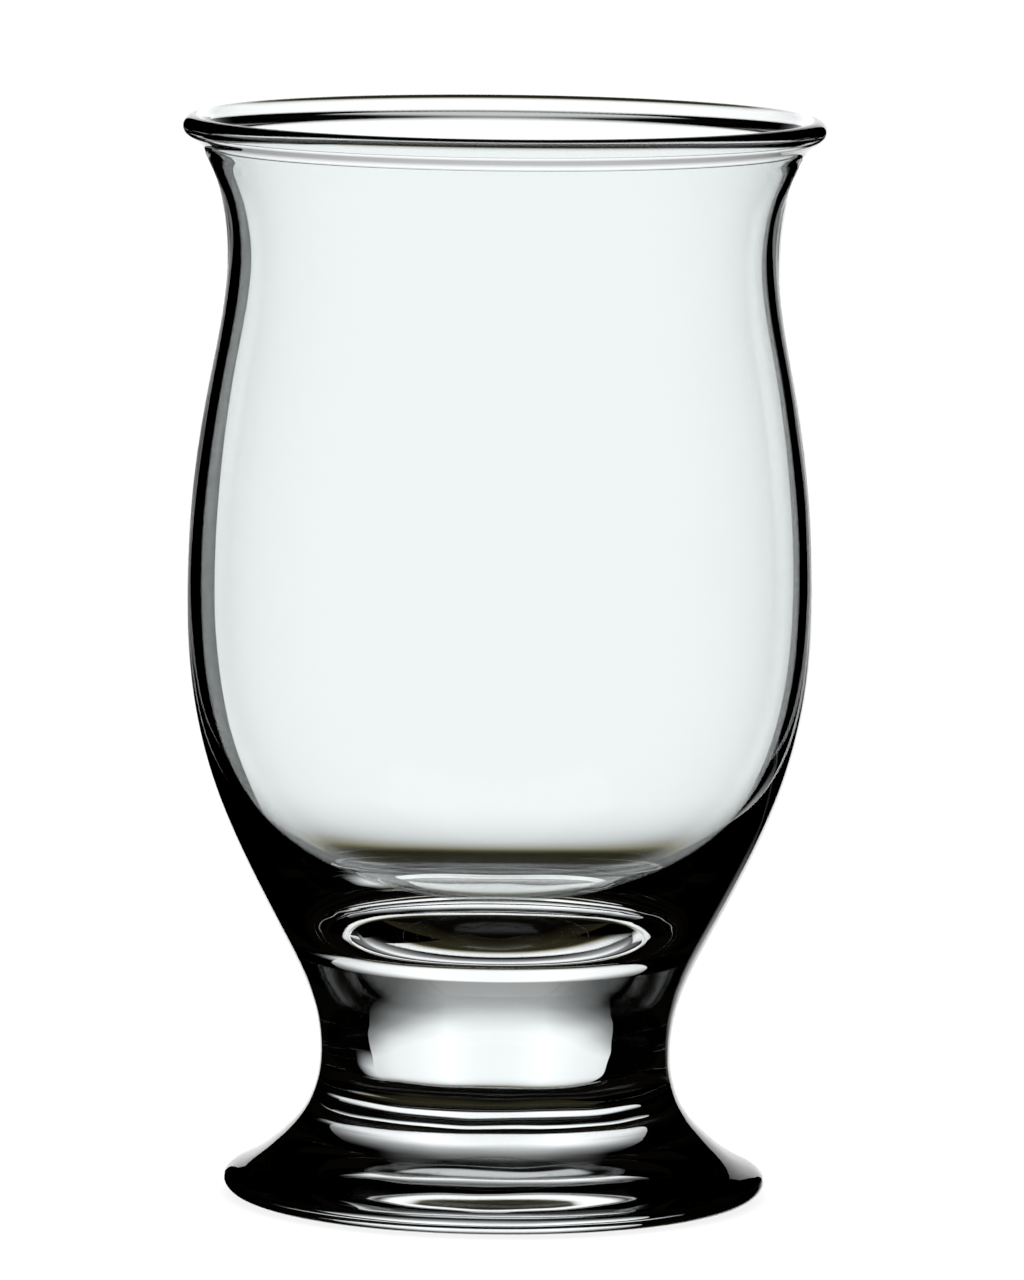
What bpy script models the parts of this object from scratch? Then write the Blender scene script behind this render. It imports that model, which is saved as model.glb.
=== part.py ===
"""Footed mixing glass: a blown bowl, a solid stem and a pressed foot, fused on one axis.

Metres, +Z up.  The origin is the middle of the circle that the glass stands on.
Every piece is a turned solid: an outline of (radius, height) points, spun about +Z.
"""

import math

import bpy
import bmesh
import numpy as np
from mathutils import Matrix, Vector

MM = 0.001

# Driving dimensions
HEIGHT = 120.0 * MM
RIM_RADIUS = 35.55 * MM
BELLY_RADIUS = 34.65 * MM
WAIST_RADIUS = 30.55 * MM
STEM_RADIUS = 19.5 * MM
FOOT_RADIUS = 30.1 * MM

WAIST_HEIGHT = 104.0 * MM
BELLY_HEIGHT = 68.0 * MM
STEM_HEIGHT = 17.0 * MM

# Fire-polished lip: a round bead, proud of the flared wall with a small fillet under it
LIP_BEAD_RADIUS = 1.25 * MM
LIP_OUTSIDE_ANGLE = math.radians(-60.0)
LIP_INSIDE_ANGLE = math.radians(153.0)

# Cavity
WALL = 1.5 * MM
CAVITY_FLOOR = 28.9 * MM

# Foot: rounded edge, flat standing ring and the shallow hollow under it
FOOT_EDGE_HEIGHT = 1.7 * MM
FOOT_EDGE_WIDTH = 2.1 * MM
STANDING_RING_WIDTH = 3.5 * MM
KICK_DEPTH = 1.6 * MM

# Fused joints: heights at the outside, and how far their faces bulge downwards
BOWL_JOINT_HEIGHT = 25.0 * MM
BOWL_JOINT_BULGE = 2.0 * MM
FOOT_JOINT_HEIGHT = 9.0 * MM
FOOT_JOINT_BULGE = 1.5 * MM
JOINT_GAP = 0.3 * MM

# Fineness of the turned meshes
TURN_STEPS = 64
WALL_STEP = 4.0 * MM
BEAD_STEPS = 9
EDGE_STEPS = 4
FACE_STEPS = 5
SEAM_MARGIN = 0.2 * MM
WELD_DISTANCE = 0.01 * MM
SHARP_ANGLE = math.radians(30.0)
QUARTER_TURN = math.pi / 2.0

GLASS_COLOUR = (0.94, 0.965, 0.965, 1.0)
GLASS_ROUGHNESS = 0.02
GLASS_IOR = 1.52

UP = (0.0, 1.0)
INWARD = (-1.0, 0.0)


def clear_scene():
    for item in list(bpy.data.objects):
        bpy.data.objects.remove(item, do_unlink=True)


def smooth_curve(points, start_direction, end_direction):
    """Points along the cubic curve of continuous curvature through the given points."""
    knots = np.array(points)
    chord = np.hypot(*np.diff(knots, axis=0).T)
    slope = np.diff(knots, axis=0) / chord[:, None]
    count = len(knots)
    matrix = np.zeros((count, count))
    right = np.zeros((count, 2))
    matrix[0, 0] = 1.0
    matrix[-1, -1] = 1.0
    right[0] = start_direction
    right[-1] = end_direction
    for i in range(1, count - 1):
        matrix[i, i - 1] = chord[i]
        matrix[i, i] = 2.0 * (chord[i - 1] + chord[i])
        matrix[i, i + 1] = chord[i - 1]
        right[i] = 3.0 * (chord[i] * slope[i - 1] + chord[i - 1] * slope[i])
    tangent = np.linalg.solve(matrix, right)
    curve = [tuple(knots[0])]
    for i, length in enumerate(chord):
        pieces = max(2, round(length / WALL_STEP))
        for k in range(1, pieces + 1):
            t = k / pieces
            h00 = 2 * t**3 - 3 * t**2 + 1
            h10 = t**3 - 2 * t**2 + t
            h01 = 3 * t**2 - 2 * t**3
            h11 = t**3 - t**2
            ends = h00 * knots[i] + h01 * knots[i + 1]
            pull = length * (h10 * tangent[i] + h11 * tangent[i + 1])
            curve.append(tuple(ends + pull))
    return curve


def arc(centre, radii, start, end, steps):
    """Points along an elliptical arc, with angles measured from the outward direction."""
    angles = [start + (end - start) * k / steps for k in range(steps + 1)]
    return [
        (centre[0] + radii[0] * math.cos(a), centre[1] + radii[1] * math.sin(a))
        for a in angles
    ]


def direction(angle):
    return (math.cos(angle), math.sin(angle))


def dome(radius, edge_height, rise, steps):
    """Points of a shallow dome's section, from the axis out to its edge."""
    return [
        (radius * k / steps, edge_height + rise * (1.0 - (k / steps) ** 2))
        for k in range(steps + 1)
    ]


def between(outline, low, high):
    """The stretch of a rising outline from one height to another, ends included."""
    heights = [height for _, height in outline]
    radii = [radius for radius, _ in outline]
    inner = [p for p in outline if low + SEAM_MARGIN < p[1] < high - SEAM_MARGIN]
    first = (float(np.interp(low, heights, radii)), low)
    last = (float(np.interp(high, heights, radii)), high)
    return [first] + inner + [last]


def lip_centre():
    return (RIM_RADIUS - LIP_BEAD_RADIUS, HEIGHT - LIP_BEAD_RADIUS)


def lip_point(angle):
    middle = lip_centre()
    across, up = direction(angle)
    return (middle[0] + LIP_BEAD_RADIUS * across, middle[1] + LIP_BEAD_RADIUS * up)


def outside():
    """The whole glass's outside, from the foot's widest circle up to the lip bead."""
    points = [
        (FOOT_RADIUS, FOOT_EDGE_HEIGHT),
        (28.0 * MM, 3.5 * MM),
        (24.3 * MM, 6.0 * MM),
        (21.1 * MM, 9.5 * MM),
        (STEM_RADIUS + 0.25 * MM, 13.0 * MM),
        (STEM_RADIUS, STEM_HEIGHT),
        (20.45 * MM, 22.0 * MM),
        (23.65 * MM, 29.0 * MM),
        (27.75 * MM, 37.0 * MM),
        (31.55 * MM, 46.0 * MM),
        (33.95 * MM, 56.0 * MM),
        (BELLY_RADIUS, BELLY_HEIGHT),
        (34.0 * MM, 80.0 * MM),
        (32.15 * MM, 92.0 * MM),
        (WAIST_RADIUS, WAIST_HEIGHT),
        (31.3 * MM, 111.0 * MM),
        (32.4 * MM, 114.2 * MM),
        (33.1 * MM, 115.7 * MM),
        (33.6 * MM, 116.75 * MM),
        lip_point(LIP_OUTSIDE_ANGLE),
    ]
    return smooth_curve(points, UP, direction(LIP_OUTSIDE_ANGLE + QUARTER_TURN))


def bowl_inside():
    """Inside of the bowl, from the lip bead down to the cavity's floor on the axis."""
    points = [
        lip_point(LIP_INSIDE_ANGLE),
        (31.5 * MM, 115.8 * MM),
        (29.9 * MM, 111.0 * MM),
        (WAIST_RADIUS - WALL, WAIST_HEIGHT),
        (30.7 * MM, 92.0 * MM),
        (32.5 * MM, 80.0 * MM),
        (BELLY_RADIUS - WALL, BELLY_HEIGHT),
        (32.3 * MM, 56.0 * MM),
        (29.3 * MM, 46.0 * MM),
        (24.9 * MM, 39.0 * MM),
        (19.6 * MM, 34.0 * MM),
        (12.0 * MM, 30.0 * MM),
        (6.0 * MM, 29.2 * MM),
        (0.0, CAVITY_FLOOR),
    ]
    start = direction(LIP_INSIDE_ANGLE + QUARTER_TURN)
    return smooth_curve(points, start, INWARD)


def bowl_outline():
    wall = between(outside(), BOWL_JOINT_HEIGHT, lip_point(LIP_OUTSIDE_ANGLE)[1])
    face = dome(wall[0][0], BOWL_JOINT_HEIGHT, -BOWL_JOINT_BULGE, FACE_STEPS)
    radii = (LIP_BEAD_RADIUS, LIP_BEAD_RADIUS)
    bead = arc(lip_centre(), radii, LIP_OUTSIDE_ANGLE, LIP_INSIDE_ANGLE, BEAD_STEPS)
    return face + wall[1:] + bead[1:] + bowl_inside()[1:]


def stem_outline():
    top = BOWL_JOINT_HEIGHT - JOINT_GAP
    side = between(outside(), FOOT_JOINT_HEIGHT, top)
    lower = dome(side[0][0], FOOT_JOINT_HEIGHT, -FOOT_JOINT_BULGE, FACE_STEPS)
    upper = dome(side[-1][0], top, -BOWL_JOINT_BULGE, FACE_STEPS)
    return lower + side[1:] + upper[-2::-1]


def foot_outline():
    top = FOOT_JOINT_HEIGHT - JOINT_GAP
    ring_outside = FOOT_RADIUS - FOOT_EDGE_WIDTH
    ring_inside = ring_outside - STANDING_RING_WIDTH
    edge_middle = (ring_outside, FOOT_EDGE_HEIGHT)
    edge_radii = (FOOT_EDGE_WIDTH, FOOT_EDGE_HEIGHT)
    hollow = dome(ring_inside, 0.0, KICK_DEPTH, FACE_STEPS)
    edge = arc(edge_middle, edge_radii, -QUARTER_TURN, 0.0, EDGE_STEPS)
    side = between(outside(), FOOT_EDGE_HEIGHT, top)
    upper = dome(side[-1][0], top, -FOOT_JOINT_BULGE, FACE_STEPS)
    return hollow + edge + side[1:] + upper[-2::-1]


def turned(name, outline, material):
    """Spin an outline that starts and ends on the axis into a closed round solid."""
    mesh = bpy.data.meshes.new(name)
    shape = bmesh.new()
    verts = [shape.verts.new((radius, 0.0, height)) for radius, height in outline]
    edges = [shape.edges.new(pair) for pair in zip(verts, verts[1:])]
    bmesh.ops.spin(
        shape,
        geom=verts + edges,
        cent=Vector((0.0, 0.0, 0.0)),
        axis=Vector((0.0, 0.0, 1.0)),
        angle=2.0 * math.pi,
        steps=TURN_STEPS,
        use_merge=True,
    )
    bmesh.ops.remove_doubles(shape, verts=shape.verts, dist=WELD_DISTANCE)
    bmesh.ops.triangulate(shape, faces=shape.faces)
    bmesh.ops.recalc_face_normals(shape, faces=shape.faces)
    shape.to_mesh(mesh)
    shape.free()
    mesh.shade_smooth()
    mesh.set_sharp_from_angle(angle=SHARP_ANGLE)
    mesh.materials.append(material)
    piece = bpy.data.objects.new(name, mesh)
    bpy.context.collection.objects.link(piece)
    return piece


def glass_material(name):
    material = bpy.data.materials.new(name)
    material.use_nodes = True
    shader = material.node_tree.nodes["Principled BSDF"]
    shader.inputs["Base Color"].default_value = GLASS_COLOUR
    shader.inputs["Roughness"].default_value = GLASS_ROUGHNESS
    shader.inputs["Metallic"].default_value = 0.0
    shader.inputs["Transmission Weight"].default_value = 1.0
    shader.inputs["IOR"].default_value = GLASS_IOR
    return material


def build():
    clear_scene()
    axis = bpy.data.objects.new("glass_axis", None)
    bpy.context.collection.objects.link(axis)
    outlines = {"foot": foot_outline(), "stem": stem_outline(), "bowl": bowl_outline()}
    for name, outline in outlines.items():
        piece = turned(name, outline, glass_material(name + "_glass"))
        piece.parent = axis
        piece.matrix_parent_inverse = Matrix.Identity(4)


build()
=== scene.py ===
"""Looks of the footed mixing glass: clear, fire-polished glass on a white set.

Metres, +Z up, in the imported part's own frame.  The glass stands on the origin, and the
camera looks along +Y.  Each piece is a turned solid whose skin is one smooth profile of
(radius, height) points, running from the middle of the underside, round the foot's edge,
up the outside, over the lip and down into the cavity.
"""

import math

import bpy
import numpy as np
from mathutils import Matrix, Vector


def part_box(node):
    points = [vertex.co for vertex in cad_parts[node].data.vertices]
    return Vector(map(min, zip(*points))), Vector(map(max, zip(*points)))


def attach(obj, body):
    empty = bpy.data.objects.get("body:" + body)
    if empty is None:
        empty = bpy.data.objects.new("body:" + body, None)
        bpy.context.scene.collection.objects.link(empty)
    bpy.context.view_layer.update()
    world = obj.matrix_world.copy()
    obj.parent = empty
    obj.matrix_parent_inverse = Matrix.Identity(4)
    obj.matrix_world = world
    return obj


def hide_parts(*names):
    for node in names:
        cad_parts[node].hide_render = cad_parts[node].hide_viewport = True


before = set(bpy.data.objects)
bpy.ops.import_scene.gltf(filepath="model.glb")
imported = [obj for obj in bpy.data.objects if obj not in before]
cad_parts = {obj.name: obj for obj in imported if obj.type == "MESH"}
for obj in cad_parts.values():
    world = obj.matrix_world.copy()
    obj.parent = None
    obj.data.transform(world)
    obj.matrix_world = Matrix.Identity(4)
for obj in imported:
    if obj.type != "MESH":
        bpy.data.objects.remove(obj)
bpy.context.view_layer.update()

MM = 0.001
QUARTER_TURN = math.pi / 2.0
UP = (0.0, 1.0)
INWARD = (-1.0, 0.0)

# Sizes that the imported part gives
FOOT_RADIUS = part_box("foot")[1].x
RIM_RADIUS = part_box("bowl")[1].x
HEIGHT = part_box("bowl")[1].z

# Turned shape
STEM_RADIUS = 19.5 * MM
BELLY_RADIUS = 34.65 * MM
WAIST_RADIUS = 30.55 * MM
STEM_HEIGHT = 17.0 * MM
BELLY_HEIGHT = 68.0 * MM
WAIST_HEIGHT = 104.0 * MM
WALL = 1.5 * MM
CAVITY_FLOOR = 28.9 * MM
LIP_BEAD_RADIUS = 1.25 * MM
LIP_OUTSIDE_ANGLE = math.radians(-60.0)
LIP_INSIDE_ANGLE = math.radians(153.0)
FOOT_EDGE_HEIGHT = 1.7 * MM
FOOT_EDGE_WIDTH = 2.1 * MM
STANDING_RING_WIDTH = 3.5 * MM
KICK_DEPTH = 1.6 * MM
BOWL_JOINT_HEIGHT = 25.0 * MM
BOWL_JOINT_BULGE = 2.0 * MM
FOOT_JOINT_HEIGHT = 9.0 * MM
FOOT_JOINT_BULGE = 1.5 * MM

# Fineness of the turned meshes
TURN_STEPS = 256
SKIN_STEP = 0.7 * MM
BEND_STEP = 0.2 * MM
FACE_STEPS = 12

# Material numbers of a piece: its skin, and the clear faces where it is fused to another
SKIN = 0
FUSED = 1

# Glass: its tint, the roughness of its least polished spots, and its waviness
IOR = 1.52
TINT_SCALE = (30.0, 30.0, 60.0)
POLISH_SCALE = (90.0, 90.0, 180.0)
POLISH_RANGE = (0.45, 0.80)
LOOKS = {
    "foot": {
        "tint_low": (0.870, 0.895, 0.905, 1.0),
        "tint_high": (0.890, 0.920, 0.930, 1.0),
        "roughness": 0.012,
        "wave_scale": (70.0, 70.0, 190.0),
        "wave_depth": 0.22 * MM,
    },
    "stem": {
        "tint_low": (0.835, 0.875, 0.885, 1.0),
        "tint_high": (0.855, 0.895, 0.905, 1.0),
        "roughness": 0.008,
        "wave_scale": (80.0, 80.0, 160.0),
        "wave_depth": 0.20 * MM,
    },
    "bowl": {
        "tint_low": (0.930, 0.960, 0.960, 1.0),
        "tint_high": (0.945, 0.970, 0.970, 1.0),
        "roughness": 0.006,
        "wave_scale": (60.0, 60.0, 60.0),
        "wave_depth": 0.02 * MM,
    },
}

# Camera
CAMERA_DISTANCE = 1.25
CAMERA_HEIGHT = 0.2101
CAMERA_PITCH = math.radians(6.76)
CAMERA_YAW = math.radians(0.063)
CAMERA_ROLL = math.radians(0.64)
LENS = 319.7
SENSOR_WIDTH = 36.0

# White background and floor, and the near darkness that the glass sees in their place
WHITE = 1.05
DARK_COLOUR = (1.0, 0.85, 0.55, 1.0)
DARK_STRENGTH = 0.002
FLOOR_SIZE = 8.0
FLOOR_DROP = 0.2 * MM
# Painted shadow: the floor's glow dims to a darker ring round the foot, over this reach either side
# of its edge and down to this level
PAINTED_SHADOW_REACH = 1.5 * MM
PAINTED_SHADOW_LEVEL = 0.88

# Sweep: a lit patch of a large sphere behind the glass, with angles in degrees
SWEEP_RADIUS = 3.0
SWEEP_HALF_WIDTH = 46.0
SWEEP_LOW = -66.0
SWEEP_HIGH = 52.0
SWEEP_ACROSS = 24
SWEEP_UP = 40
SWEEP_STRENGTH = 1.758
# (elevation, brightness): full in the middle, and fading below and above it
SWEEP_RISE = [
    (-66.0, 0.0), (-60.0, 0.008), (-50.0, 0.020), (-41.0, 0.018), (-39.0, 0.025),
    (-37.0, 0.10), (-35.0, 0.30), (-33.0, 0.45), (-31.0, 0.60), (-29.0, 0.70),
    (-27.0, 0.78), (-24.0, 0.85), (-20.0, 0.91), (8.0, 0.91), (14.0, 0.75),
    (20.0, 0.50), (26.0, 0.30), (35.0, 0.13), (44.0, 0.03), (50.0, 0.0),
]
# (azimuth, gain): a little brighter beside the middle, which keeps the bowl bright near its outline
SWEEP_SIDE = [
    (0.0, 0.73), (4.0, 0.74), (7.0, 0.77), (11.0, 0.83), (14.0, 0.78), (20.0, 0.72),
    (26.0, 0.68), (32.0, 0.58), (45.0, 0.52),
]
# The upper fade droops towards the sides, in radians of elevation per square radian of azimuth
SWEEP_DROOP = 1.15
SWEEP_DROOP_START = (-30.0, -5.0)
# The lower fade is warm
WARM_EDGE = (1.0, 0.88, 0.45, 1.0)
WARM_FADE = (-38.0, -32.0)

# Flags: black cards close behind the glass, with hard edges but for the soft ones stated
FLAG_DISTANCE = 0.12
FLAG_WIDTH = 0.16
HARD = 0.1 * MM
# (name, inner edge, bottom, top, width of the soft left edge, height of the soft lower edge)
FLAGS = [
    ("flag_left", -0.055, -0.18, 0.26, HARD, HARD),
    ("flag_right", 0.065, -0.025, 0.26, HARD, 0.028),
    ("flag_right_low", 0.067, -0.18, 0.0, 0.022, HARD),
]

# Soft box over the glass, a little towards the camera, with edges that fall off
BOX_SIZE = (1.9, 0.9)
BOX_EDGE = 0.25
BOX_STRENGTH = 0.65
BOX_RISE = 0.98
BOX_FORWARD = 0.20


def new_object(name, data):
    item = bpy.data.objects.new(name, data)
    bpy.context.scene.collection.objects.link(item)
    return item


# ---------------------------------------------------------------- profile of the glass


def smooth_curve(points, start_direction, end_direction):
    """Points along the cubic curve of continuous curvature through the given points."""
    knots = np.array(points)
    chord = np.hypot(*np.diff(knots, axis=0).T)
    slope = np.diff(knots, axis=0) / chord[:, None]
    count = len(knots)
    matrix = np.zeros((count, count))
    right = np.zeros((count, 2))
    matrix[0, 0] = 1.0
    matrix[-1, -1] = 1.0
    right[0] = start_direction
    right[-1] = end_direction
    for i in range(1, count - 1):
        matrix[i, i - 1] = chord[i]
        matrix[i, i] = 2.0 * (chord[i - 1] + chord[i])
        matrix[i, i + 1] = chord[i - 1]
        right[i] = 3.0 * (chord[i] * slope[i - 1] + chord[i - 1] * slope[i])
    tangent = np.linalg.solve(matrix, right)
    curve = [tuple(knots[0])]
    for i, length in enumerate(chord):
        pieces = max(2, round(length / SKIN_STEP))
        for k in range(1, pieces + 1):
            t = k / pieces
            h00 = 2 * t**3 - 3 * t**2 + 1
            h10 = t**3 - 2 * t**2 + t
            h01 = 3 * t**2 - 2 * t**3
            h11 = t**3 - t**2
            ends = h00 * knots[i] + h01 * knots[i + 1]
            pull = length * (h10 * tangent[i] + h11 * tangent[i + 1])
            curve.append(tuple(ends + pull))
    return curve


def direction(angle):
    return (math.cos(angle), math.sin(angle))


def arc(centre, radii, start, end):
    """Points along an elliptical arc, with angles measured from the outward direction."""
    steps = round(abs(end - start) * max(radii) / BEND_STEP)
    angles = [start + (end - start) * k / steps for k in range(steps + 1)]
    return [
        (centre[0] + radii[0] * math.cos(a), centre[1] + radii[1] * math.sin(a))
        for a in angles
    ]


def lip_centre():
    return (RIM_RADIUS - LIP_BEAD_RADIUS, HEIGHT - LIP_BEAD_RADIUS)


def lip_point(angle):
    middle = lip_centre()
    across, up = direction(angle)
    return (middle[0] + LIP_BEAD_RADIUS * across, middle[1] + LIP_BEAD_RADIUS * up)


def underside():
    """The hollow, the flat standing ring and the foot's rounded edge."""
    ring_outside = FOOT_RADIUS - FOOT_EDGE_WIDTH
    ring_inside = ring_outside - STANDING_RING_WIDTH
    steps = round(ring_inside / SKIN_STEP)
    radii = [ring_inside * k / steps for k in range(steps + 1)]
    hollow = [(r, KICK_DEPTH * (1.0 - (r / ring_inside) ** 2)) for r in radii]
    steps = round(STANDING_RING_WIDTH / SKIN_STEP)
    ring = [(ring_inside + STANDING_RING_WIDTH * k / steps, 0.0) for k in range(1, steps)]
    middle = (ring_outside, FOOT_EDGE_HEIGHT)
    edge = arc(middle, (FOOT_EDGE_WIDTH, FOOT_EDGE_HEIGHT), -QUARTER_TURN, 0.0)
    return hollow + ring + edge


def outside():
    """From the foot's widest circle up to the lip bead."""
    points = [
        (FOOT_RADIUS, FOOT_EDGE_HEIGHT),
        (28.0 * MM, 3.5 * MM),
        (24.3 * MM, 6.0 * MM),
        (21.1 * MM, 9.5 * MM),
        (STEM_RADIUS + 0.25 * MM, 13.0 * MM),
        (STEM_RADIUS, STEM_HEIGHT),
        (20.45 * MM, 22.0 * MM),
        (23.65 * MM, 29.0 * MM),
        (27.75 * MM, 37.0 * MM),
        (31.55 * MM, 46.0 * MM),
        (33.95 * MM, 56.0 * MM),
        (BELLY_RADIUS, BELLY_HEIGHT),
        (34.0 * MM, 80.0 * MM),
        (32.15 * MM, 92.0 * MM),
        (WAIST_RADIUS, WAIST_HEIGHT),
        (31.3 * MM, 111.0 * MM),
        (32.4 * MM, 114.2 * MM),
        (33.1 * MM, 115.7 * MM),
        (33.6 * MM, 116.75 * MM),
        lip_point(LIP_OUTSIDE_ANGLE),
    ]
    return smooth_curve(points, UP, direction(LIP_OUTSIDE_ANGLE + QUARTER_TURN))


def inside():
    """From the lip bead down to the cavity's floor on the axis."""
    points = [
        lip_point(LIP_INSIDE_ANGLE),
        (31.5 * MM, 115.8 * MM),
        (29.9 * MM, 111.0 * MM),
        (WAIST_RADIUS - WALL, WAIST_HEIGHT),
        (30.7 * MM, 92.0 * MM),
        (32.5 * MM, 80.0 * MM),
        (BELLY_RADIUS - WALL, BELLY_HEIGHT),
        (32.3 * MM, 56.0 * MM),
        (29.3 * MM, 46.0 * MM),
        (24.9 * MM, 39.0 * MM),
        (19.6 * MM, 34.0 * MM),
        (12.0 * MM, 30.0 * MM),
        (6.0 * MM, 29.2 * MM),
        (0.0, CAVITY_FLOOR),
    ]
    return smooth_curve(points, direction(LIP_INSIDE_ANGLE + QUARTER_TURN), INWARD)


def skin():
    """The whole skin's points, and its unit normals, which point out of the glass."""
    radii = (LIP_BEAD_RADIUS, LIP_BEAD_RADIUS)
    bead = arc(lip_centre(), radii, LIP_OUTSIDE_ANGLE, LIP_INSIDE_ANGLE)
    points = np.array(underside() + outside()[1:] + bead[1:] + inside()[1:])
    along = np.concatenate([[0.0], np.cumsum(np.hypot(*np.diff(points, axis=0).T))])
    tangent = np.gradient(points, along, axis=0)
    tangent[0] = (1.0, 0.0)
    tangent[-1] = INWARD
    tangent /= np.linalg.norm(tangent, axis=1)[:, None]
    normals = np.column_stack([tangent[:, 1], -tangent[:, 0]])
    return points, normals


def row_at(points, height):
    """The number of the skin point on the outside that is nearest to a height."""
    widest_of_foot = int(np.argmax(np.isclose(points[:, 0], FOOT_RADIUS)))
    top_of_lip = int(np.argmax(points[:, 1]))
    heights = points[widest_of_foot:top_of_lip, 1]
    return widest_of_foot + int(np.argmin(np.abs(heights - height)))


def face(edge, bulge):
    """A fused face's section, from the axis out towards the skin point at its edge."""
    radii = edge[0] * np.arange(FACE_STEPS) / FACE_STEPS
    heights = edge[1] - bulge * (1.0 - (radii / edge[0]) ** 2)
    return np.column_stack([radii, heights])


# ---------------------------------------------------------------- turned meshes


def turned(name, sections):
    """Spin sections of (points, normals, material number) into one closed solid.

    The sections join end to end, and the first and the last point lie on the axis.  The
    band between two sections is fused if either of them is.
    """
    points = np.concatenate([section[0] for section in sections])
    normals = np.concatenate([section[1] for section in sections])
    kinds = np.concatenate([np.full(len(section[0]), section[2]) for section in sections])
    turns = 2.0 * np.pi * np.arange(TURN_STEPS) / TURN_STEPS
    spokes = np.column_stack([np.cos(turns), np.sin(turns)])

    def ring(pair):
        return [(pair[0] * c, pair[0] * s, pair[1]) for c, s in spokes]

    verts = [(0.0, 0.0, points[0][1])]
    vert_normals = [(0.0, 0.0, normals[0][1])]
    for point, normal in zip(points[1:-1], normals[1:-1]):
        verts += ring(point)
        vert_normals += ring(normal)
    verts.append((0.0, 0.0, points[-1][1]))
    vert_normals.append((0.0, 0.0, normals[-1][1]))
    rings = len(points) - 2
    faces = []
    numbers = []
    for k in range(TURN_STEPS):
        after = (k + 1) % TURN_STEPS
        faces.append((0, 1 + after, 1 + k))
        numbers.append(kinds[0])
        for i in range(rings - 1):
            low = 1 + i * TURN_STEPS
            high = low + TURN_STEPS
            faces.append((low + k, low + after, high + after, high + k))
            numbers.append(max(kinds[i + 1], kinds[i + 2]))
        low = 1 + (rings - 1) * TURN_STEPS
        faces.append((low + k, low + after, len(verts) - 1))
        numbers.append(kinds[-1])
    mesh = bpy.data.meshes.new(name)
    mesh.from_pydata(verts, [], faces)
    mesh.polygons.foreach_set("material_index", np.array(numbers, dtype=np.int32))
    mesh.polygons.foreach_set("use_smooth", np.ones(len(faces), dtype=bool))
    mesh.normals_split_custom_set_from_vertices(vert_normals)
    mesh.validate()
    mesh.update()
    return new_object(name, mesh)


def glass_pieces():
    points, normals = skin()
    low = row_at(points, FOOT_JOINT_HEIGHT)
    high = row_at(points, BOWL_JOINT_HEIGHT)
    lower_face = face(points[low], FOOT_JOINT_BULGE)
    upper_face = face(points[high], BOWL_JOINT_BULGE)
    down = np.tile((0.0, -1.0), (FACE_STEPS, 1))
    foot = turned("glass_foot", [
        (points[:low + 1], normals[:low + 1], SKIN),
        (lower_face[::-1], -down, FUSED),
    ])
    stem = turned("glass_stem", [
        (lower_face, down, FUSED),
        (points[low:high + 1], normals[low:high + 1], SKIN),
        (upper_face[::-1], -down, FUSED),
    ])
    bowl = turned("glass_bowl", [
        (upper_face, down, FUSED),
        (points[high:], normals[high:], SKIN),
    ])
    return {"foot": foot, "stem": stem, "bowl": bowl}


# ---------------------------------------------------------------- node helpers


def math_node(tree, operation, *values):
    """A Math node's result.  Each value is a number or an output socket."""
    node = tree.nodes.new("ShaderNodeMath")
    node.operation = operation
    for socket, value in zip(node.inputs, values):
        if isinstance(value, float):
            socket.default_value = value
        else:
            tree.links.new(value, socket)
    return node.outputs["Value"]


def ramp(tree, value, start, end, low=0.0, high=1.0, smooth=False):
    """Low where the value is at start or before, and rising to high at end."""
    node = tree.nodes.new("ShaderNodeMapRange")
    if smooth:
        node.interpolation_type = "SMOOTHSTEP"
    node.inputs["From Min"].default_value = start
    node.inputs["From Max"].default_value = end
    node.inputs["To Min"].default_value = low
    node.inputs["To Max"].default_value = high
    tree.links.new(value, node.inputs["Value"])
    return node.outputs["Result"]


def mixed(tree, factor, first, second):
    """A colour between two colours."""
    node = tree.nodes.new("ShaderNodeMix")
    node.data_type = "RGBA"
    node.inputs["A"].default_value = first
    node.inputs["B"].default_value = second
    tree.links.new(factor, node.inputs["Factor"])
    return node.outputs["Result"]


def object_place(tree):
    return tree.nodes.new("ShaderNodeTexCoord").outputs["Object"]


def axes_of(tree, vector):
    """The X, Y and Z outputs of a vector."""
    node = tree.nodes.new("ShaderNodeSeparateXYZ")
    tree.links.new(vector, node.inputs["Vector"])
    return node.outputs


def bare_material(name):
    """A material with nothing but its output, and that output's surface socket."""
    material = bpy.data.materials.new(name)
    material.use_nodes = True
    nodes = material.node_tree.nodes
    nodes.clear()
    return material, nodes.new("ShaderNodeOutputMaterial").inputs["Surface"]


# ---------------------------------------------------------------- materials


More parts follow.
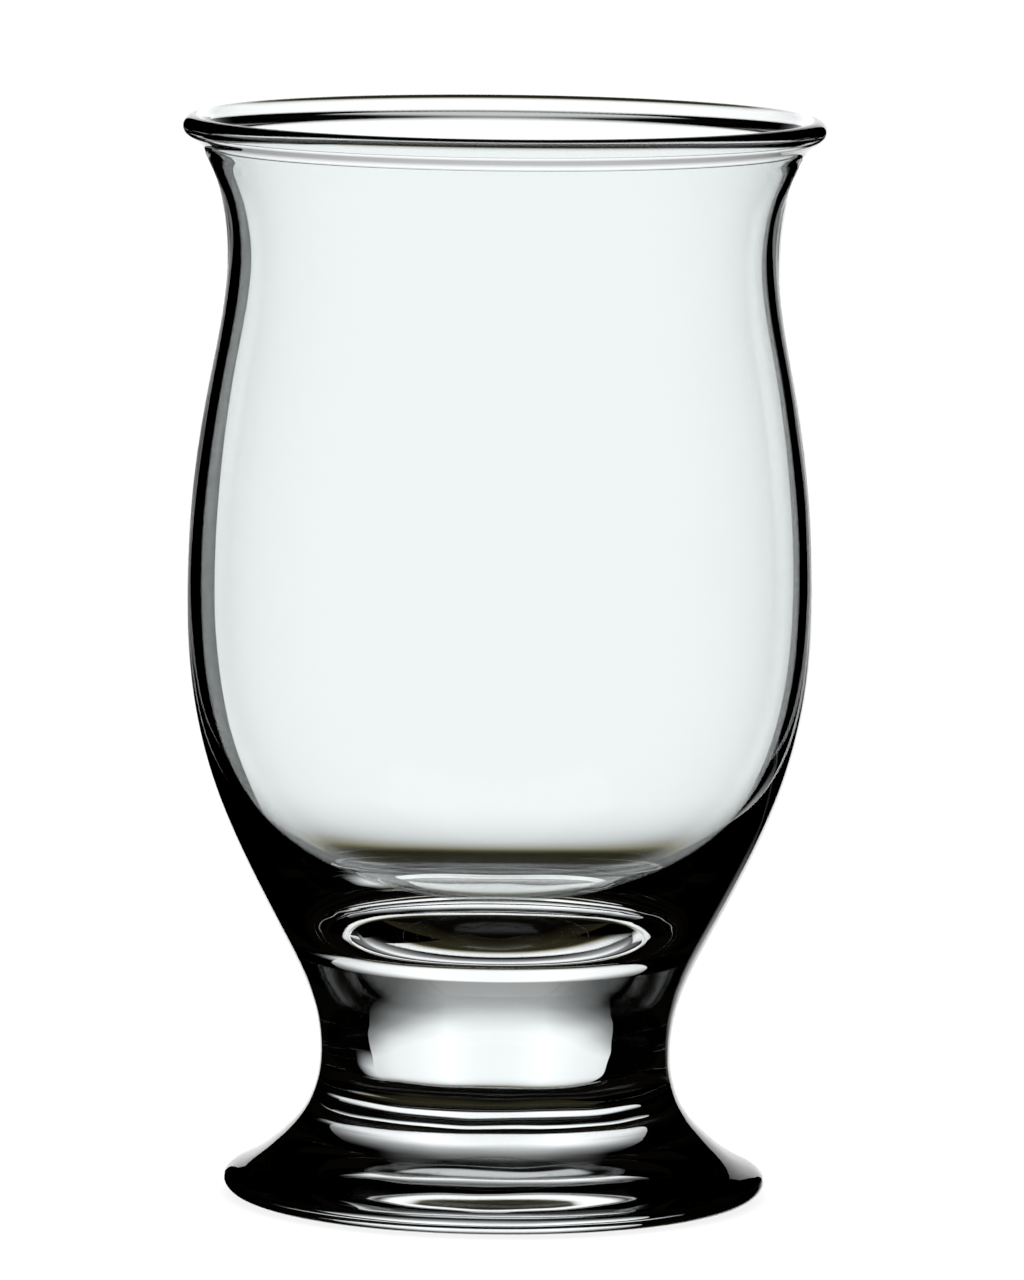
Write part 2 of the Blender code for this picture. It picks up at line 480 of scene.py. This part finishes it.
def glass_material(name, look):
    """Clear glass with faint striae in its tint, its polish and its surface."""
    material = bpy.data.materials.new(name)
    material.use_nodes = True
    tree = material.node_tree
    nodes, links = tree.nodes, tree.links
    shader = nodes["Principled BSDF"]
    shader.inputs["Transmission Weight"].default_value = 1.0
    shader.inputs["IOR"].default_value = IOR
    place = object_place(tree)

    def noise(scale, detail):
        stretch = nodes.new("ShaderNodeMapping")
        stretch.inputs["Scale"].default_value = scale
        links.new(place, stretch.inputs["Vector"])
        pattern = nodes.new("ShaderNodeTexNoise")
        pattern.inputs["Scale"].default_value = 1.0
        pattern.inputs["Detail"].default_value = detail
        links.new(stretch.outputs["Vector"], pattern.inputs["Vector"])
        return pattern.outputs["Fac"]

    tint = mixed(tree, noise(TINT_SCALE, 2.0), look["tint_low"], look["tint_high"])
    links.new(tint, shader.inputs["Base Color"])
    polish = ramp(tree, noise(POLISH_SCALE, 3.0), *POLISH_RANGE, high=look["roughness"])
    links.new(polish, shader.inputs["Roughness"])
    waves = nodes.new("ShaderNodeBump")
    waves.inputs["Strength"].default_value = 1.0
    waves.inputs["Distance"].default_value = look["wave_depth"]
    links.new(noise(look["wave_scale"], 1.0), waves.inputs["Height"])
    links.new(waves.outputs["Normal"], shader.inputs["Normal"])
    return material


def fused_material():
    material, surface = bare_material("fused_face")
    clear = material.node_tree.nodes.new("ShaderNodeBsdfTransparent")
    material.node_tree.links.new(clear.outputs["BSDF"], surface)
    return material


def emission_material(name, build):
    """A glowing material, whose strength and colour the build function links."""
    material, surface = bare_material(name)
    tree = material.node_tree
    emission = tree.nodes.new("ShaderNodeEmission")
    tree.links.new(emission.outputs["Emission"], surface)
    build(tree, emission)
    return material


def sweep_shader(tree, emission):
    """White in the middle, and fading to black above and, with a warm edge, below."""

    def fade(value, start, end, level=1.0):
        return ramp(tree, value, math.radians(start), math.radians(end), high=level)

    def profile(value, stops):
        """Brightness along an angle, from stops of (degrees, brightness)."""
        first, last = stops[0][0], stops[-1][0]
        curve = tree.nodes.new("ShaderNodeValToRGB")
        elements = curve.color_ramp.elements
        while len(elements) < len(stops):
            elements.new(1.0)
        for element, (angle, level) in zip(elements, stops):
            element.position = (angle - first) / (last - first)
            element.color = (level, level, level, 1.0)
        tree.links.new(fade(value, first, last), curve.inputs["Fac"])
        return curve.outputs["Color"]

    unit = tree.nodes.new("ShaderNodeVectorMath")
    unit.operation = "NORMALIZE"
    tree.links.new(object_place(tree), unit.inputs[0])
    axes = axes_of(tree, unit.outputs["Vector"])
    elevation = math_node(tree, "ARCSINE", axes["Z"])
    azimuth = math_node(tree, "ARCTAN2", axes["X"], axes["Y"])
    side = math_node(tree, "ABSOLUTE", azimuth)
    square = math_node(tree, "MULTIPLY", azimuth, azimuth)
    droop = fade(elevation, *SWEEP_DROOP_START, SWEEP_DROOP)
    lifted = math_node(tree, "MULTIPLY_ADD", square, droop, elevation)
    level = math_node(tree, "MULTIPLY", profile(lifted, SWEEP_RISE), profile(side, SWEEP_SIDE))
    strength = math_node(tree, "MULTIPLY", level, SWEEP_STRENGTH)
    tree.links.new(strength, emission.inputs["Strength"])
    tint = mixed(tree, fade(elevation, *WARM_FADE), WARM_EDGE, (1.0, 1.0, 1.0, 1.0))
    tree.links.new(tint, emission.inputs["Color"])


def flag_material(name, height, soft_left, soft_low):
    """Black, and fading to clear along the left and the lower edge of its card."""
    material, surface = bare_material(name)
    tree = material.node_tree
    axes = axes_of(tree, object_place(tree))
    across = ramp(tree, axes["X"], -FLAG_WIDTH / 2.0, -FLAG_WIDTH / 2.0 + soft_left)
    up = ramp(tree, axes["Y"], -height / 2.0, -height / 2.0 + soft_low)
    clear = tree.nodes.new("ShaderNodeBsdfTransparent")
    black = tree.nodes.new("ShaderNodeEmission")
    black.inputs["Strength"].default_value = 0.0
    mix = tree.nodes.new("ShaderNodeMixShader")
    tree.links.new(math_node(tree, "MULTIPLY", across, up), mix.inputs["Fac"])
    tree.links.new(clear.outputs["BSDF"], mix.inputs[1])
    tree.links.new(black.outputs["Emission"], mix.inputs[2])
    tree.links.new(mix.outputs["Shader"], surface)
    return material


def soft_box_shader(tree, emission):
    """Full in the middle, and falling off towards the edges of the box."""
    axes = axes_of(tree, object_place(tree))

    def edge(axis, size):
        distance = math_node(tree, "ABSOLUTE", axes[axis])
        return ramp(tree, distance, size / 2.0, size / 2.0 - BOX_EDGE, smooth=True)

    both = math_node(tree, "MULTIPLY", edge("X", BOX_SIZE[0]), edge("Y", BOX_SIZE[1]))
    level = math_node(tree, "MULTIPLY", both, BOX_STRENGTH)
    tree.links.new(level, emission.inputs["Strength"])


def painted_shadow_floor_shader(tree, emission):
    """Plain white, with a painted contact shadow: a faint dark ring painted where the foot meets
    it.
    """
    length = tree.nodes.new("ShaderNodeVectorMath")
    length.operation = "LENGTH"
    tree.links.new(object_place(tree), length.inputs[0])
    near, far = FOOT_RADIUS - PAINTED_SHADOW_REACH, FOOT_RADIUS + PAINTED_SHADOW_REACH
    # Painted shadow: the glow drops from white to a darker level at the foot's edge
    level = ramp(tree, length.outputs["Value"], near, far, PAINTED_SHADOW_LEVEL, WHITE, smooth=True)
    tree.links.new(level, emission.inputs["Strength"])


# ---------------------------------------------------------------- studio


def add_camera():
    data = bpy.data.cameras.new("camera")
    data.lens = LENS
    data.sensor_width = SENSOR_WIDTH
    data.clip_start = 0.1
    data.clip_end = 20.0
    camera = new_object("camera", data)
    tilt = Matrix.Rotation(QUARTER_TURN - CAMERA_PITCH, 4, "X")
    pan = Matrix.Rotation(-CAMERA_YAW, 4, "Z")
    roll = Matrix.Rotation(CAMERA_ROLL, 4, "Z")
    place = Matrix.Translation((0.0, -CAMERA_DISTANCE, CAMERA_HEIGHT))
    camera.matrix_world = place @ pan @ tilt @ roll
    bpy.context.scene.camera = camera
    return camera


def add_rig(camera):
    """The lights' mount, on an arm that turns with the camera.

    With the camera where this script puts it, the mount lies along the axes.
    """
    arm = new_object("light_arm", None)
    follow = arm.constraints.new("COPY_ROTATION")
    follow.target = camera
    rig = new_object("light_rig", None)
    rig.parent = arm
    rig.matrix_basis = camera.matrix_basis.to_3x3().inverted().to_4x4()
    return rig


def light_only(item):
    """Seen by the glass alone, and not by the camera."""
    item.visible_camera = False
    item.visible_shadow = False


def add_sweep(rig):
    """The lit panel behind the glass: a patch of a large sphere."""
    verts = []
    for i in range(SWEEP_UP + 1):
        elevation = math.radians(SWEEP_LOW + (SWEEP_HIGH - SWEEP_LOW) * i / SWEEP_UP)
        for k in range(SWEEP_ACROSS + 1):
            azimuth = math.radians(SWEEP_HALF_WIDTH * (2.0 * k / SWEEP_ACROSS - 1.0))
            verts.append((
                SWEEP_RADIUS * math.cos(elevation) * math.sin(azimuth),
                SWEEP_RADIUS * math.cos(elevation) * math.cos(azimuth),
                SWEEP_RADIUS * math.sin(elevation),
            ))
    row = SWEEP_ACROSS + 1
    faces = [
        (i * row + k, i * row + k + 1, (i + 1) * row + k + 1, (i + 1) * row + k)
        for i in range(SWEEP_UP)
        for k in range(SWEEP_ACROSS)
    ]
    mesh = bpy.data.meshes.new("sweep")
    mesh.from_pydata(verts, [], faces)
    mesh.materials.append(emission_material("sweep", sweep_shader))
    item = new_object("sweep", mesh)
    item.parent = rig
    light_only(item)


def rectangle(name, width, height, material):
    """A level rectangle about its own origin."""
    x, y = width / 2.0, height / 2.0
    corners = [(-x, -y, 0.0), (x, -y, 0.0), (x, y, 0.0), (-x, y, 0.0)]
    mesh = bpy.data.meshes.new(name)
    mesh.from_pydata(corners, [], [(0, 1, 2, 3)])
    mesh.materials.append(material)
    return new_object(name, mesh)


def add_card(name, rig, centre, size, facing, material):
    """A flat card on the lights' mount, square to the facing direction."""
    item = rectangle(name, *size, material)
    item.parent = rig
    item.location = centre
    item.rotation_mode = "QUATERNION"
    item.rotation_quaternion = Vector(facing).to_track_quat("Z", "Y")
    light_only(item)


def add_flags(rig):
    """The black cards that draw the glass's dark outline."""
    for name, inner, bottom, top, soft_left, soft_low in FLAGS:
        height = top - bottom
        middle = inner + math.copysign(FLAG_WIDTH / 2.0, inner)
        centre = (middle, FLAG_DISTANCE, (top + bottom) / 2.0)
        material = flag_material(name, height, soft_left, soft_low)
        add_card(name, rig, centre, (FLAG_WIDTH, height), (0.0, -1.0, 0.0), material)


def add_soft_box(rig):
    centre = (0.0, -BOX_FORWARD, BOX_RISE + HEIGHT / 2.0)
    facing = (0.0, BOX_FORWARD, -BOX_RISE)
    material = emission_material("soft_box", soft_box_shader)
    add_card("soft_box", rig, centre, BOX_SIZE, facing, material)


def add_floor():
    """A plain white floor with a painted contact shadow round the foot, which the glass itself
    doesn't see.
    """
    item = rectangle("floor", FLOOR_SIZE, FLOOR_SIZE, emission_material("floor", painted_shadow_floor_shader))
    item.location.z = -FLOOR_DROP
    item.visible_glossy = False
    item.visible_transmission = False
    item.visible_diffuse = False
    item.visible_shadow = False


def add_world():
    """White for the camera, and nearly dark for the glass."""
    world = bpy.data.worlds.new("white_set")
    bpy.context.scene.world = world
    world.use_nodes = True
    tree = world.node_tree
    nodes, links = tree.nodes, tree.links
    nodes.clear()
    path = nodes.new("ShaderNodeLightPath")
    seen = nodes.new("ShaderNodeBackground")
    seen.inputs["Color"].default_value = (1.0, 1.0, 1.0, 1.0)
    seen.inputs["Strength"].default_value = WHITE
    dark = nodes.new("ShaderNodeBackground")
    dark.inputs["Color"].default_value = DARK_COLOUR
    dark.inputs["Strength"].default_value = DARK_STRENGTH
    mix = nodes.new("ShaderNodeMixShader")
    output = nodes.new("ShaderNodeOutputWorld")
    links.new(path.outputs["Is Camera Ray"], mix.inputs["Fac"])
    links.new(dark.outputs["Background"], mix.inputs[1])
    links.new(seen.outputs["Background"], mix.inputs[2])
    links.new(mix.outputs["Shader"], output.inputs["Surface"])


bpy.context.scene.view_settings.view_transform = "Standard"
rig = add_rig(add_camera())
add_sweep(rig)
add_flags(rig)
add_soft_box(rig)
add_floor()
add_world()

fused = fused_material()
for node, piece in glass_pieces().items():
    piece.data.materials.append(glass_material(node + "_glass", LOOKS[node]))
    piece.data.materials.append(fused)
    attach(piece, "root")
    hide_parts(node)
